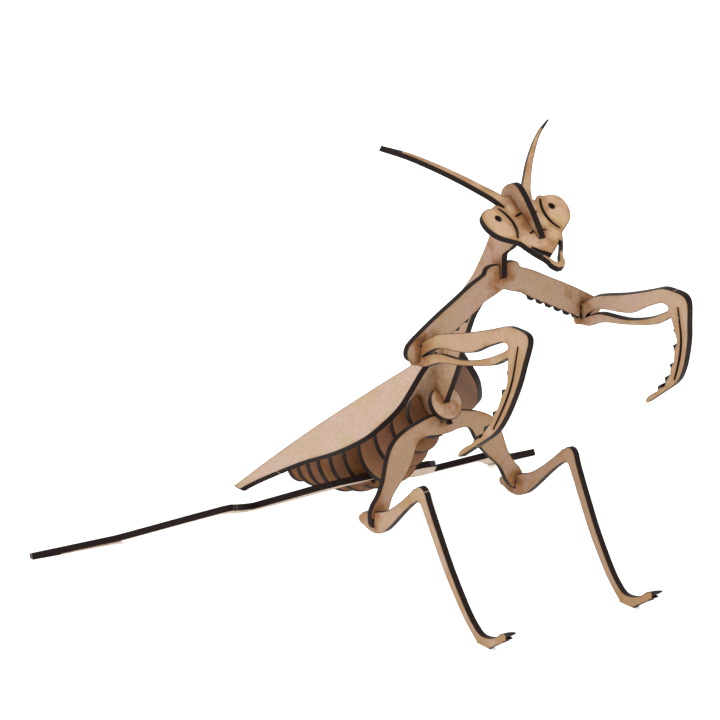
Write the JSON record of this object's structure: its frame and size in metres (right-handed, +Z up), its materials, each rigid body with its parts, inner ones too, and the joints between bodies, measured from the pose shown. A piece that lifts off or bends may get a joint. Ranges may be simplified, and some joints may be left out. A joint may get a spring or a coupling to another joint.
{
  "type": "wooden praying mantis puzzle model",
  "caption": "Standing praying mantis built from slotted flat boards: ringed abdomen on a spine, folded wings, looped fore legs with hanging claws, long jointed legs.",
  "frame": {"origin": "middle of the bounding box, on the surface that the feet stand on", "axes": "-Y the way the mantis looks, +X its left, +Z up"},
  "size_m": [0.2642, 0.2394, 0.2117],
  "materials": {
    "board": "bare 3 mm fibreboard, flat faces tan with scorched patches, laser-cut edges charred dark brown"
  },
  "bodies": {
    "root": {"body_plate": "board", "head_plate": "board", "arms_plate": "board", "hook_right": "board", "hook_left": "board", "mid_arch": "board", "mid_leg_right": "board", "mid_leg_left": "board", "hind_legs": "board", "wing_right": "board", "wing_left": "board", "ring_01": "board", "ring_02": "board", "ring_03": "board", "ring_04": "board", "ring_05": "board", "ring_06": "board", "ring_07": "board", "ring_08": "board", "ring_09": "board", "ring_10": "board", "hip_disc": "board"}
  },
  "joints": []
}
